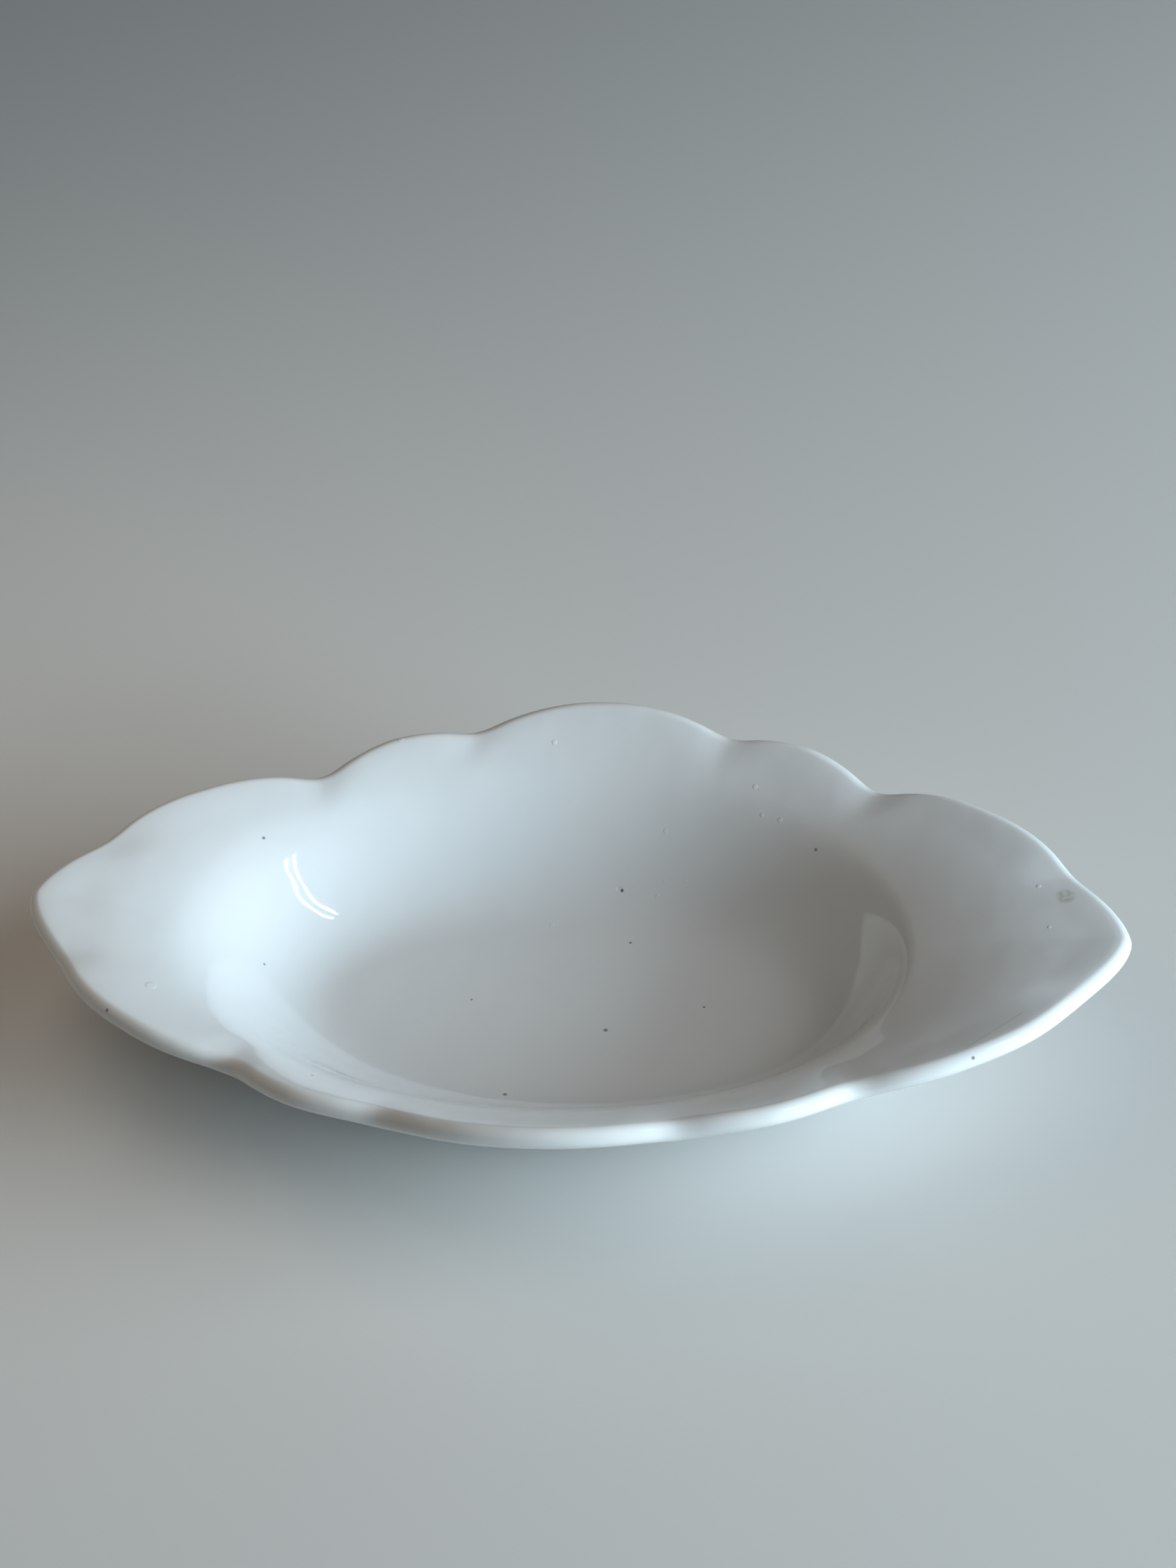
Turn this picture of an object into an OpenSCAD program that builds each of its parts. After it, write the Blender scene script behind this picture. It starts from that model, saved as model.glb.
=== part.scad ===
// Boat-shaped ironstone serving dish with a rim of twelve lobes, on an oval foot.
// X runs along the dish, Z is up, and Z = 0 is the table it stands on.
// All four pieces follow the same spokes, which run from the floor of the well to the lip.

/* [Dish] */
// Length over the two end lobes, glazed
dish_length = 240; // [225:1:270]
// Width over the two side lobes, glazed
dish_width = 144; // [136:1:160]
// Height of the lip above the table at the middle of the long sides
side_height = 38.5; // [36:0.5:44]
// Height of the lip above the table at the two ends
end_height = 34; // [31:0.5:40]
// Thickness of the fired clay
clay = 4; // [3:0.1:5]
// Thickness of the glaze
glaze_coat = 0.3; // [0.2:0.05:0.5]

/* [Well] */
// Length of the well at its verge, where the rim begins
verge_length = 153; // [146:1:158]
// How far the verge lies off the dish's middle; below zero is to the left
verge_shift = -4; // [-5:0.5:1]
// Width of the well at its verge
verge_width = 101; // [98:1:108]
// Height of the verge above the table
verge_height = 26.5; // [22:0.5:29]
// Length of the floor, to the middle of its rounded corner
floor_length = 126; // [116:1:130]
// Width of the floor, to the middle of its rounded corner
floor_width = 74; // [68:1:80]
// Reach of the rounding between floor and wall, to each side of the corner
floor_round = 13; // [9:0.5:14]
// Reach of the rounding at the verge, to each side of it, at the right end, where it is crisp
right_round = 3; // [1.5:0.5:8]
// Reach of that rounding at the left end, where the hand left it soft
left_round = 11; // [1.5:0.5:12]
// Reach of that rounding at the middle of the long sides
side_round = 8; // [4:0.5:9]
// How much wider that rounding is on the underside
under_fill = 2; // [1:0.5:3]

/* [Lobes] */
// How far each long lobe, beside an end lobe, bows out between its notches
long_bulge = 6.6; // [4:0.2:8]
// How far each short lobe bows out between its notches
short_bulge = 4.6; // [3:0.2:6]
// Length over which the two sides of a notch flow into each other
notch_ease = 6; // [4:0.5:8]
// How far the lip dips at a notch
notch_dip = 0.4; // [0.2:0.1:2]
// Half-width of that dip along the lip
dip_width = 5; // [3:0.5:8]
// How far the dip runs down the rim from the lip
dip_reach = 10; // [4:1:14]
// How far the middle of a lobe lifts above the plain rim
lobe_lift = 0.4; // [0:0.1:1]

/* [Foot] */
// Height of the foot ring
foot_height = 3; // [2:0.5:5]
// Width of the foot ring where it joins the base
foot_width = 5; // [4:0.5:8]
// How far each side of the foot leans in towards its standing edge
foot_draft = 0.7; // [0.2:0.1:1.2]
// Height of the bare band above the standing edge
bare_edge = 0.5; // [0.3:0.1:1]

/* [Hidden] */

// Places of the three notches of one quarter, as shares of half the length and half the width
notch_shares = [[0.9, 0.278], [0.5375, 0.661], [0.25, 0.8835]];
// How full the end, long, short and side lobes are: 2 is a plain bow, less is more pointed
fullness_shares = [1.6, 2.4, 1.8, 2.1];
// How far the samples along a lobe crowd towards its notches
crowding_share = 0.35;
// The spokes are turned so that they meet verge and lip squarely
spoke_share = 1.25;
// How fast the rim steepens from the ends to the long sides
steepening_share = 1.3;
// How much of its slope the rim loses between verge and lip
flattening_share = 0.24;
// How far the foot lies inside the floor's corner, of the rounding there
foot_inset_share = 0.52;
// Least distance below the rim from the lip to the rounding at the verge, of the rim's run
under_gap_share = 0.12;

half_length = dish_length / 2;
half_width = dish_width / 2;
lip_r = clay / 2;
lip_inset = lip_r + glaze_coat;
floor_a = floor_length / 2;
floor_b = floor_width / 2;
verge_a = verge_length / 2;
verge_b = verge_width / 2;
floor_z = foot_height + clay;
verge_z = verge_height - glaze_coat;
side_slope = (side_height - verge_height) / (half_width - lip_inset - verge_b);
foot_inset = floor_round * foot_inset_share;
foot_a = floor_a - foot_inset;
foot_b = floor_b - foot_inset;
inner_a = foot_a - foot_width;
inner_b = foot_b - foot_width;
// How far a cut runs past the face that it opens
overrun = clay / 4;
clay_color = [0.92, 0.9, 0.85];
glaze_color = [0.86, 0.89, 0.92];

// Counts of facets: along a lobe, then along a spoke
lobe_steps = 8;
wall_rings = 6;
verge_rings = 4;
rim_rings = 4;
lip_steps = 6;
under_rim_rings = 2;
under_wall_rings = 6;
$fn = 96;

// A ramp that starts from nothing and reaches slope one, eased over reach r to each side of zero
function ramp(x, r) =
    x >= r ? x : x <= -r ? 0 : let (t = (x + r) / (2 * r)) 2 * r * (t ^ 3 - t ^ 4 / 2);
function smooth(t) = let (u = min(max(t, 0), 1)) u * u * (3 - 2 * u);
function unit(v) = v / norm(v);

// The twelve notches in turn, counter-clockwise from the one beside the right-hand end lobe
quarter = [for (s = notch_shares) [s[0] * half_length, s[1] * half_width]];
upper = concat(quarter, [for (i = [2:-1:0]) [-quarter[i][0], quarter[i][1]]]);
notches = concat(upper, [for (n = upper) -n]);
lobe_count = len(notches);

// Lobe i runs from notch i to the next one; the kinds are 0 end, 1 long, 2 short and 3 side
lobe_kinds = [1, 2, 3, 2, 1, 0];
bulges = [half_length - quarter[0][0], long_bulge, short_bulge, half_width - quarter[2][1]];
function wrap(i) = (i + lobe_count) % lobe_count;
function notch(i) = notches[wrap(i)];
function kind(i) = lobe_kinds[wrap(i) % len(lobe_kinds)];
function chord(i) = norm(notch(i + 1) - notch(i));

// Point of lobe i at distance c along its chord
function bow(i, c) =
    let (
        along = unit(notch(i + 1) - notch(i)),
        out = [along[1], -along[0]],
        rise = 1 - abs(2 * c / chord(i) - 1) ^ fullness_shares[kind(i)]
    )
    notch(i) + along * c + out * bulges[kind(i)] * rise;

// Near a notch the steps of the two lobes away from it are added, each eased in from nothing
function edge(i, c) =
    let (
        left = chord(i) - c,
        own = c < left ? ramp(c, notch_ease) : chord(i) - ramp(left, notch_ease),
        before = bow(i - 1, chord(i - 1) - ramp(-c, notch_ease)) - notch(i),
        after = bow(i + 1, ramp(-left, notch_ease)) - notch(i + 1)
    )
    bow(i, own) + before + after;

// Samples of the outline, each with its distance along the chord and its lobe
samples = [
    for (i = [0:lobe_count - 1], k = [0:lobe_steps - 1])
        let (t = k / lobe_steps)
        [i, chord(i) * (t - crowding_share * sin(360 * t) / (2 * PI))]
];
count = len(samples);
outline = [for (s = samples) edge(s[0], s[1])];
function outward(j) =
    let (d = unit(outline[(j + 1) % count] - outline[(j + count - 1) % count])) [d[1], -d[0]];

// Where a corner of the section moves to on the underside, from slope angle a to slope angle b
function corner_shift(a, b) = clay * sin((a + b) / 2) / cos((a - b) / 2);

// Reach of the rounding at the verge, which turns from the right end over the sides to the left end
function verge_round(angle) =
    let (end_round = left_round + (right_round - left_round) * (1 + cos(angle)) / 2)
    end_round + (side_round - end_round) * sin(angle) ^ 2;

// Slope of the rim, from the two ends, where it depends on how far off the verge lies, to the long sides
function rim_slope(angle) =
    let (
        end_run = half_length - lip_inset - verge_a - verge_shift * cos(angle),
        end_slope = (end_height - verge_height) / end_run
    )
    end_slope + (side_slope - end_slope) * abs(sin(angle)) ^ steepening_share;

// One spoke of the dish in plan, from the floor's corner over the verge to the lip, and its three
// slopes: up the wall, onto the rim and at the lip
function spoke(j) =
    let (
        i = samples[j][0],
        c = samples[j][1],
        n = outward(j),
        lip = outline[j] - n * lip_inset,
        angle = atan2(lip[1] * spoke_share, lip[0]),
        verge = [verge_shift + verge_a * cos(angle), verge_b * sin(angle)],
        corner = [floor_a * cos(angle), floor_b * sin(angle)],
        wall_run = norm(verge - corner),
        slope = rim_slope(angle),
        notch_gap = min(c, chord(i) - c),
        dip = notch_dip * exp(-(notch_gap / dip_width) ^ 2)
    )
    [
        angle,
        verge,
        lip,
        n,
        [(verge_z - floor_z) / wall_run, slope + flattening_share / 2, slope - flattening_share / 2],
        verge_round(angle),
        lobe_lift * sin(180 * c / chord(i)) - dip
    ];
spokes = [for (j = [0:count - 1]) spoke(j)];
function angle_of(s) = s[0];
function verge_of(s) = s[1];
function lip_of(s) = s[2];
function normal_of(s) = s[3];
function slopes_of(s) = s[4];
function round_of(s) = s[5];
function corner_of(s) = [floor_a * cos(angle_of(s)), floor_b * sin(angle_of(s))];
function heading_of(s) = unit(lip_of(s) - verge_of(s));
function rim_run(s) = norm(lip_of(s) - verge_of(s));
function verge_at(s) = norm(verge_of(s) - corner_of(s));
function lip_at(s) = verge_at(s) + rim_run(s);

// Plan place on a spoke at distance d outward from the floor's corner
function plan(s, d) =
    d > verge_at(s) ? verge_of(s) + heading_of(s) * (d - verge_at(s))
    : d > 0 ? corner_of(s) + (verge_of(s) - corner_of(s)) * d / verge_at(s)
    : [(floor_a + d) * cos(angle_of(s)), (floor_b + d) * sin(angle_of(s))];

// The dips and lifts of the lobes, which fade out down the rim
function relief(s, d) = s[6] * smooth(1 - (lip_at(s) - d) / dip_reach);

// Height above z: a ramp at each corner of the section turns it from one slope to the next
function section(s, d, z, corners, reaches) =
    let (slopes = [0, each slopes_of(s)])
    z + relief(s, d)
    + [for (i = [0:2]) (slopes[i + 1] - slopes[i]) * ramp(d - corners[i], reaches[i])] * [1, 1, 1];
function top_point(s, d) =
    let (
        corners = [0, verge_at(s), verge_at(s) + rim_run(s) / 2],
        reaches = [floor_round, round_of(s), rim_run(s) / 2]
    )
    [each plan(s, d), section(s, d, floor_z, corners, reaches)];
function under_corners(s) =
    let (leans = [0, for (t = slopes_of(s)) atan(t)])
    [
        corner_shift(leans[0], leans[1]),
        verge_at(s) + corner_shift(leans[1], leans[2]),
        verge_at(s) + rim_run(s) / 2 + corner_shift(leans[2], leans[3])
    ];
function under_point(s, d) =
    let (reaches = [floor_round, round_of(s) + under_fill, rim_run(s) / 2])
    [each plan(s, d), section(s, d, foot_height, under_corners(s), reaches)];

// Point of the rounded lip, where a turns from 90 on the upper side to -90 on the underside
function lip_lean(s) = atan(slopes_of(s)[2]);
function lip_point(s, a) =
    let (
        out = heading_of(s) + (normal_of(s) - heading_of(s)) * cos(a),
        z = top_point(s, lip_at(s))[2] - lip_r / cos(lip_lean(s))
    )
    [each lip_of(s) + out * lip_r * cos(a + lip_lean(s)), z + lip_r * sin(a + lip_lean(s))];

// Spokes stand apart by at most this much, so that flats drawn on them clear the round foot
angles = [for (s = spokes) angle_of(s)];
widest = max([for (j = [0:count - 1]) (angles[(j + 1) % count] - angles[j] + 360) % 360]);
clearing = 1 / cos(widest / 2);
function on_foot(s, z) =
    let (lean_in = foot_draft * (1 - z / foot_height))
    [
        (foot_a - lean_in) * clearing * cos(angle_of(s)),
        (foot_b - lean_in * foot_b / foot_a) * clearing * sin(angle_of(s)),
        z
    ];

// All points of one spoke, from the floor over the lip and back to the root of the foot
function steps(from, to, parts) = [for (k = [1:parts]) from + (to - from) * k / parts];
function spoke_points(s) =
    let (
        lip_lead = lip_r * sin(lip_lean(s)),
        wall_end = verge_at(s) - round_of(s),
        rim_start = verge_at(s) + round_of(s),
        round_end = under_corners(s)[1] + round_of(s) + under_fill,
        under_end = min(round_end, lip_at(s) + lip_lead - rim_run(s) * under_gap_share),
        under_wall = steps(under_end, -foot_inset, under_wall_rings)
    )
    concat(
        [top_point(s, -floor_round)],
        [for (d = steps(-floor_round, wall_end, wall_rings)) top_point(s, d)],
        [for (d = steps(wall_end, rim_start, verge_rings)) top_point(s, d)],
        [for (d = steps(rim_start, lip_at(s) - lip_lead, rim_rings)) top_point(s, d)],
        [for (a = steps(90, -90, lip_steps)) lip_point(s, a)],
        [for (d = steps(lip_at(s) + lip_lead, under_end, under_rim_rings)) under_point(s, d)],
        [for (k = [0:under_wall_rings - 2]) under_point(s, under_wall[k])],
        [on_foot(s, foot_height)]
    );

// Rings of the clay dish, and of all that the outer glaze covers, which adds the foot's outer side
clay_rings = [for (s = spokes) spoke_points(s)];
coat_rings = [for (j = [0:count - 1]) concat(clay_rings[j], [on_foot(spokes[j], bare_edge)])];
clay_depth = len(clay_rings[0]);
coat_depth = len(coat_rings[0]);

// Outward direction of the surface at ring k of spoke j
function facing(j, k) =
    let (
        ahead = coat_rings[(j + 1) % count][k],
        behind = coat_rings[(j + count - 1) % count][k],
        outer = coat_rings[j][min(k + 1, coat_depth - 1)],
        inner = coat_rings[j][max(k - 1, 0)]
    )
    unit(cross(outer - inner, ahead - behind));
glazed_rings = [
    for (j = [0:count - 1])
        [for (k = [0:coat_depth - 1]) coat_rings[j][k] + facing(j, k) * glaze_coat]
];

// Triangles between neighbouring spokes of a grid whose first point has the index first
function band(first, depth, inward) = [
    for (j = [0:count - 1], k = [0:depth - 2])
        let (
            a = first + j * depth + k,
            b = first + (j + 1) % count * depth + k
        )
        each inward
            ? [[a, a + 1, b + 1], [a, b + 1, b]]
            : [[a, b + 1, a + 1], [a, b, b + 1]]
];
// Triangles from the ring with index k of that grid to a single point, the pole
function fan(first, depth, k, pole, inward) = [
    for (j = [0:count - 1])
        let (
            a = first + j * depth + k,
            b = first + (j + 1) % count * depth + k
        )
        inward ? [a, b, pole] : [a, pole, b]
];

module dish_body() {
    color(clay_color)
        polyhedron(
            points = concat([for (ring = clay_rings) each ring], [[0, 0, floor_z], [0, 0, foot_height]]),
            faces = concat(
                band(0, clay_depth, false),
                fan(0, clay_depth, 0, count * clay_depth, false),
                fan(0, clay_depth, clay_depth - 1, count * clay_depth + 1, true)
            )
        );
}

// The coat lies between the clay's surface and one glaze thickness outside it
module glaze() {
    outer = count * coat_depth;
    color(glaze_color)
        polyhedron(
            points = concat(
                [for (ring = coat_rings) each ring],
                [for (ring = glazed_rings) each ring],
                [[0, 0, floor_z], [0, 0, floor_z + glaze_coat]]
            ),
            faces = concat(
                band(0, coat_depth, true),
                fan(0, coat_depth, 0, 2 * outer, true),
                band(outer, coat_depth, false),
                fan(outer, coat_depth, 0, 2 * outer + 1, false),
                [
                    for (j = [0:count - 1])
                        let (
                            a = (j + 1) * coat_depth - 1,
                            b = ((j + 1) % count + 1) * coat_depth - 1
                        )
                        each [[a, outer + a, outer + b], [a, outer + b, b]]
                ]
            )
        );
}

// An oval cone from z = low to z = high, with half-length a and half-width b at its root height
module oval(a, b, lean, low, high) {
    translate([0, 0, low])
        scale([1, b / a, 1])
            cylinder(
                h = high - low,
                r1 = a + lean * (1 - low / foot_height),
                r2 = a + lean * (1 - high / foot_height)
            );
}

// The ring starts below the table, whose plane cuts its standing edge flat
module foot_ring() {
    color(clay_color)
        difference() {
            oval(foot_a, foot_b, -foot_draft, -overrun, foot_height);
            oval(inner_a, inner_b, foot_draft, -2 * overrun, foot_height + overrun);
            translate([0, 0, -foot_a])
                cube(2 * foot_a, center = true);
        }
}

// The coat inside the foot lines the ring's inner side and the base
module base_glaze() {
    color(glaze_color)
        difference() {
            oval(inner_a, inner_b, foot_draft, bare_edge, foot_height);
            oval(inner_a - glaze_coat, inner_b - glaze_coat, foot_draft, bare_edge - overrun, foot_height - glaze_coat);
        }
}

dish_body();
foot_ring();
glaze();
base_glaze();
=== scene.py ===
import math

import bpy
import numpy as np
from bpy.props import FloatProperty, FloatVectorProperty, IntProperty, PointerProperty
from mathutils import Matrix, Vector


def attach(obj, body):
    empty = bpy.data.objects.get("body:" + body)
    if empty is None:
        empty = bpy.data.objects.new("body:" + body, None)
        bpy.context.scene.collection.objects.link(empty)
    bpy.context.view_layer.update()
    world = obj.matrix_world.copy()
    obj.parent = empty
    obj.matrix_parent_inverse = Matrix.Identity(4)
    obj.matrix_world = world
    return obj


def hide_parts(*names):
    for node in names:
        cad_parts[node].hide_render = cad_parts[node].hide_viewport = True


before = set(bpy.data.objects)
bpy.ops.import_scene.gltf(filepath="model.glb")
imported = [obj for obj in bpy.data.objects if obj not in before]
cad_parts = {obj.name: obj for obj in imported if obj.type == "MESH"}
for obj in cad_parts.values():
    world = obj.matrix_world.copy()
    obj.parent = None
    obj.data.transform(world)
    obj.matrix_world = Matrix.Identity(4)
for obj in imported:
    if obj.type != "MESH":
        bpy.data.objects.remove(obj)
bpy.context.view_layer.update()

bl_info = {
    "name": "Lobed Ironstone Dish",
    "version": (1, 0, 0),
    "blender": (4, 5, 0),
    "location": "3D View > Sidebar > Dish",
    "description": "A boat-shaped serving dish in white glazed ironstone, with a twelve-lobed rim",
    "category": "Add Mesh",
}

MM = 0.001
GOLDEN_ANGLE = math.pi * (3 - math.sqrt(5))
GLAZE, CLAY = "old_white_glaze", "bare_fired_clay"

# The three notches of one quarter, as shares of half the length and half the width
NOTCH_SHARES = np.array([[0.9, 0.278], [0.5375, 0.661], [0.25, 0.8835]])
# The kinds of the twelve lobes in turn: 0 end, 1 long, 2 short, 3 side
LOBE_KINDS = np.array([1, 2, 3, 2, 1, 0] * 2)
LOBES = len(LOBE_KINDS)
# How full the lobes of each kind are: 2 is a plain bow, less is more pointed
FULLNESS_SHARES = np.array([1.6, 2.4, 1.8, 2.1])
# How far the samples along a lobe crowd towards its notches
CROWDING_SHARE = 0.35
# The spokes are turned so that they meet verge and lip squarely
SPOKE_SHARE = 1.25
# How fast the rim steepens from the ends to the long sides
STEEPENING_SHARE = 1.3
# How much of its slope the rim loses between verge and lip
FLATTENING_SHARE = 0.24
# How far the foot lies inside the floor's corner, of the rounding there
FOOT_INSET_SHARE = 0.52
# Least distance below the rim from the lip to the rounding at the verge, of the rim's run
UNDER_GAP_SHARE = 0.12

# Rings of points in each part of the section, from the floor's middle over the lip to the foot
FLOOR_RINGS, WALL_RINGS, VERGE_RINGS, RIM_RINGS, LIP_RINGS = 12, 18, 16, 26, 18
UNDER_RIM_RINGS, UNDER_VERGE_RINGS, UNDER_WALL_RINGS, FOOT_RINGS = 12, 10, 12, 4
# Points on each side of the foot's root in the glaze that fills the corner there
ROOT_STEPS = 3
# Rings on a side of the foot, round its standing edge, and in the base glaze's fillet and ceiling
SIDE_RINGS, EDGE_RINGS, FILLET_RINGS, CEILING_RINGS = 6, 6, 7, 12
# The clay, which the glaze hides, has one point where the glaze has this many, both ways
CLAY_THINNING = 2
# The glaze's hidden inner side has one ring where its outer side has this many
INNER_THINNING = 3

# The glaze runs thin over edges of about this radius, and loses this share of its coat there
THIN_RADIUS, THIN_SHARE = 0.002, 0.35
# It pools in hollows of about this radius
THICK_RADIUS = 0.008
# How often the marks of thin and pooled glaze are evened out along a spoke
EASE_TIMES = 8
# The broad waves: their number, the shortest one, and how much longer and higher each next one is
WAVE_COUNT, SHORTEST_WAVE, WAVE_GROWTH = 7, 16 * MM, 1.4
# How much a point's height counts in a wave's run, where a step in plan counts 1
WAVE_RISE = 0.7


def spots(*rows):
    """Places and radii in metres, from x, y, z and radius in millimetres."""
    return [((x * MM, y * MM, z * MM), radius * MM) for x, y, z, radius in rows]


# Grit burnt into the glaze, at the places where it is plain to see
SPECKS = spots(
    (-73.8, 28.3, 28.6, 0.5), (-69.3, 0.9, 14.9, 0.4), (-92.4, -36.7, 34.1, 0.5),
    (-46, -49.9, 31.1, 0.35), (-23, 0.6, 7.3, 0.35), (-11, -28.8, 7.5, 0.6),
    (10.1, 21.9, 7.3, 0.45), (28.8, 1.6, 7.3, 0.4), (8, -7.1, 7.2, 0.65),
    (51.3, 35.2, 25.7, 0.5), (87.6, -40, 35.5, 0.5),
)
# A pit in the glaze. The bump dents it, and its dark core is painted shade, set off toward the side
# where the pit's wall is turned from the window
PIT = spots((6.6, 36.2, 10.5, 0.5))[0]
PIT_RIM = spots((5.9, 36.5, 10.7, 0.8))[0]
STAIN = spots((106.1, 12.6, 34.2, 2.6))[0]
# Small blisters under the glaze
BLISTERS = spots(
    (-86, -25.9, 31.7, 1.5), (-11, 60.8, 33.9, 0.7), (16.2, 45.2, 21.4, 0.7),
    (36.5, 50.3, 31.1, 0.7), (38.5, 44.4, 27.7, 0.6), (42.7, 42.7, 27.8, 0.7),
    (16.3, 37.8, 12.7, 0.6), (21.3, 37.3, 13.2, 0.6), (14.9, 35, 10.3, 0.6),
    (49.6, 23.8, 12.6, 0.7), (102.7, 3.5, 33.2, 0.5), (100.4, 15.9, 33.9, 0.6),
    (-8.6, 26.7, 7.3, 0.8), (-46.9, 58.3, 35.1, 0.9),
)
# One fine crack in two straight lengths. It fades out this far to each side, and at this share
# of a length from that length's middle
HAIRLINES = [((0.0978, -0.0251, 0.0352), (0.0913, -0.0323, 0.0358)),
             ((0.0913, -0.0323, 0.0358), (0.0859, -0.0381, 0.0362))]
HAIR_WIDTH, HAIR_REACH_SHARE = 0.25 * MM, 0.6

# Blots: their size in metres, and the noise at which they begin and at which they are full
CLOUDS = {"size": 0.035, "low": 0.3, "high": 0.7, "detail": 3}
MOTTLE = {"size": 0.004, "low": 0.35, "high": 0.65, "detail": 3, "seed": 5.0}
RAGS = {"size": 0.0011, "low": 0.36, "high": 0.62, "detail": 3, "seed": 8.0}
SOIL = {"size": 0.006, "low": 0.4, "high": 0.7, "detail": 5, "rough": 0.65}
# Noise without such limits: the glaze's grain, its swell, its uneven gloss, and the clay's grain
FINE = {"size": 0.0011, "detail": 1}
SWELL = {"size": 0.008, "detail": 1}
GLOSS = {"size": 0.012, "seed": 3.0}
CLAY_GRAIN = {"size": 0.0004, "detail": 3}
# Stray grit: cells a metre, the grey from which a cell has a grain, and how far the grain and its
# full core reach, in cells
GRIT_CELLS, GRIT_FROM, GRIT_REACH, GRIT_CORE = 60.0, 0.8, 0.02, 0.012

# How strongly each change of colour shows, from 0 to 1
CLOUD_TINT, MOTTLE_TINT, THIN_TINT = 0.3, 0.08, 0.35
SPECK_TINT, PIT_SHADE_TINT, STAIN_TINT, HAIR_TINT = 0.7, 0.8, 0.42, 0.22
# What the stain keeps of its strength where its rags leave it thinnest
STAIN_LEAST = 0.25
# Heights and depths in metres that the bump gives the grain, the swell and the marks
FINE_HEIGHT, SWELL_HEIGHT, BLISTER_HEIGHT, CLAY_HEIGHT = 0.0000012, 0.00012, 0.00006, 0.00003
SPECK_DEPTH, PIT_DEPTH, PIT_RIM_DEPTH = 0.00003, 0.0002, 0.0001
# The roughness of each finish, and what the uneven gloss, the stain and the soil add to it
GLAZE_ROUGH, GLOSS_ROUGH, STAIN_ROUGH = 0.03, 0.04, 0.15
CLAY_ROUGH, SOIL_ROUGH, FLOOR_ROUGH = 0.75, 0.1, 0.8
GLAZE_IOR = 1.5

# Half the side of the square floor, in metres
FLOOR_REACH = 12.0
# Each lamp: its name; its width, height and distance in metres; its turn from the window's bearing
# and its rise, in degrees; the settings that hold its power and its tint; and the rays that miss it
LAMPS = (
    ("window", (1.2, 0.44, 1.4), (0, 12), "window_power", "window", "glossy"),
    ("pane", (1.1, 0.8, 1.4), (3, 34), "pane_power", "pane", "glossy"),
    ("sheen", (1.1, 0.8, 1.4), (3, 34), "sheen_power", "pane", "diffuse"),
    ("screen", (0.3, 0.3, 0.38), (185, 60), "screen_power", "screen", "glossy"),
    ("gleam_left", (0.024, 0.42, 1.3), (2.4, 43), "gleam_power", "pane", "diffuse"),
    ("gleam_right", (0.024, 0.42, 1.3), (-2.8, 43), "gleam_power", "pane", "diffuse"),
)


def length(name, default, description):
    """A size of the dish in metres."""
    return FloatProperty(name=name, description=description, default=default, min=0, precision=5,
                         unit="LENGTH")


def colour(name, default, description):
    """The colour of a finish or a light."""
    return FloatVectorProperty(name=name, description=description, default=default, size=3,
                               min=0, max=1, subtype="COLOR")


def power(name, default, description):
    """The power of a lamp in watts."""
    return FloatProperty(name=name, description=description, default=default, min=0, unit="POWER")


def angle(name, degrees, description):
    """A turn, given in degrees and kept in radians."""
    return FloatProperty(name=name, description=description, default=math.radians(degrees),
                         unit="ROTATION")


class DishSizes(bpy.types.PropertyGroup):
    """The driving sizes of the dish."""
    dish_length: length("Length", 0.24, "Over the two end lobes, glazed")
    dish_width: length("Width", 0.144, "Over the two side lobes, glazed")
    side_height: length("Side height", 0.0385, "Of the lip at the middle of the long sides")
    end_height: length("End height", 0.034, "Of the lip at the two ends")
    clay: length("Clay", 0.004, "Thickness of the fired clay")
    glaze_coat: length("Glaze", 0.0003, "Thickness of the glaze")
    verge_length: length("Verge length", 0.153, "Length of the well where the rim begins")
    verge_shift: FloatProperty(name="Verge shift", default=-0.004, precision=5, unit="LENGTH",
                               description="How far the verge lies to the right of the middle")
    verge_width: length("Verge width", 0.101, "Width of the well where the rim begins")
    verge_height: length("Verge height", 0.0265, "Height of the verge above the table")
    floor_length: length("Floor length", 0.126, "To the middle of the floor's rounded corner")
    floor_width: length("Floor width", 0.074, "To the middle of the floor's rounded corner")
    floor_round: length("Floor rounding", 0.013, "Reach of the rounding between floor and wall")
    right_round: length("Right rounding", 0.003,
                        "Reach of the rounding at the verge, at the crisp right end")
    left_round: length("Left rounding", 0.011,
                       "Reach of the rounding at the verge, at the soft left end")
    side_round: length("Side rounding", 0.008, "Reach of the rounding at the verge, at the sides")
    under_fill: length("Under fill", 0.002, "How much wider the verge's rounding is below")
    long_bulge: length("Long bulge", 0.0066, "How far the long lobes bow out")
    short_bulge: length("Short bulge", 0.0046, "How far the short lobes bow out")
    notch_ease: length("Notch ease", 0.006,
                       "Length over which a notch's two sides flow together")
    notch_dip: length("Notch dip", 0.0004, "How far the lip dips at a notch")
    dip_width: length("Dip width", 0.005, "Half-width of that dip along the lip")
    dip_reach: length("Dip reach", 0.01, "How far the dip and the lift run down the rim")
    lobe_lift: length("Lobe lift", 0.0004, "How far the middle of a lobe lifts")
    foot_height: length("Foot height", 0.003, "Height of the foot ring")
    foot_width: length("Foot width", 0.005, "Width of the foot ring at its root")
    foot_draft: length("Foot draft", 0.0007, "How far each side of the foot leans in")
    foot_round: length("Foot rounding", 0.0004, "Radius of the standing edge's corners")
    bare_edge: length("Bare edge", 0.0005, "Height of the bare band above the standing edge")
    root_fillet: length("Root fillet", 0.001,
                        "Radius of the glaze that fills the corner at the foot's root")
    unevenness: length("Unevenness", 0.00004,
                       "Height of the broad waves that the hand left in the surface")


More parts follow.
